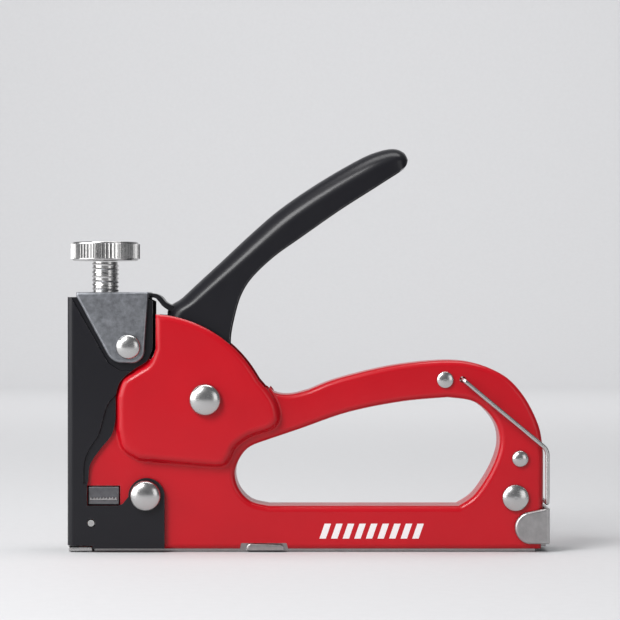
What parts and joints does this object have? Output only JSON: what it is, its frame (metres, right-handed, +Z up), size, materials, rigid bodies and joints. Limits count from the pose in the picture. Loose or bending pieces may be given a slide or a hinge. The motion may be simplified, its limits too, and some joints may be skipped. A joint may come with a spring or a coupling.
{
  "type": "staple gun",
  "caption": "Compact hand staple gun: a squeeze handle lifts a spring-driven striker, with an impact adjuster knob, a wire handle lock and a pull-out magazine pusher.",
  "frame": {"origin": "centre of the outside box on the plane that the magazine stands on", "axes": "+X from the nose to the rear, +Y to the tool's right side, +Z up"},
  "size_m": [0.1456, 0.028, 0.1221],
  "materials": {
    "red_paint": "gloss",
    "black_paint": "satin",
    "zinc_plate": "satin",
    "nickel": "polished",
    "satin_steel": "satin",
    "hard_steel": "satin",
    "bumper_rubber": "matte"
  },
  "bodies": {
    "housing": {"left_body_shell": "red_paint", "right_body_shell": "red_paint", "front_cover": "black_paint", "top_bracket": "zinc_plate", "adjuster_nut": "hard_steel", "power_spring": "satin_steel", "striker_stop": "hard_steel", "striker_buffer": "bumper_rubber", "nose_foot": "nickel", "handle_pivot_rivet": "nickel", "left_pivot_washer": "hard_steel", "right_pivot_washer": "hard_steel", "bracket_rivet": "nickel", "nose_rivet": "nickel", "upper_rivet": "nickel", "rear_rivet": "nickel", "latch_rivet": "nickel", "nose_spacer": "hard_steel", "upper_spacer": "hard_steel", "rear_spacer": "hard_steel", "latch_spacer": "hard_steel", "left_nose_pin": "nickel", "right_nose_pin": "nickel", "magazine_channel": "satin_steel", "staple_rail": "hard_steel"},
    "handle_body": {"handle": "black_paint", "lever_arm": "hard_steel"},
    "striker_body": {"striker_block": "hard_steel", "driver_blade": "nickel"},
    "cap_body": {"spring_cap": "hard_steel"},
    "adjuster_body": {"adjuster_screw": "nickel", "adjuster_knob": "nickel"},
    "lock_body": {"handle_lock": "nickel"},
    "pusher_body": {"pusher_rod": "nickel", "rear_latch": "satin_steel", "pusher_spring": "satin_steel"},
    "follower_body": {"follower": "satin_steel"}
  },
  "joints": [
    {"name": "handle_squeeze", "type": "hinge", "parent": "housing", "child": "handle_body", "pos_m": [-0.03105, 0, 0.0459], "axis": [0, 1, 0], "range_deg": [0, 38], "stiffness_Nm_per_rad": 0.93, "springref_deg": -26.59},
    {"name": "striker_lift", "type": "slide", "parent": "housing", "child": "striker_body", "axis": [0, 0, 1], "range_m": [0, 0.0143], "deforming": ["power_spring"]},
    {"name": "cap_travel", "type": "slide", "parent": "housing", "child": "cap_body", "axis": [0, 0, 1], "range_m": [-0.003, 0.003]},
    {"name": "adjuster_turn", "type": "hinge", "parent": "cap_body", "child": "adjuster_body", "pos_m": [-0.06195, 0, 0.0879], "axis": [0, 0, 1], "range_deg": [-864, 864]},
    {"name": "lock_swing", "type": "hinge", "parent": "housing", "child": "lock_body", "pos_m": [0.0466, 0, 0.0519], "axis": [0, -1, 0], "range_deg": [0, 199]},
    {"name": "pusher_pull", "type": "slide", "parent": "housing", "child": "pusher_body", "axis": [1, 0, 0], "range_m": [0, 0.105]},
    {"name": "follower_travel", "type": "slide", "parent": "pusher_body", "child": "follower_body", "axis": [1, 0, 0], "range_m": [0, 0.08], "stiffness_N_per_m": 60, "springref_m": -0.03, "deforming": ["pusher_spring"]}
  ],
  "couplings": [
    {"joint": "handle_squeeze", "follows": "striker_lift", "rad_per_m": 46.36},
    {"joint": "adjuster_turn", "follows": "cap_travel", "rad_per_m": 5026.5}
  ]
}
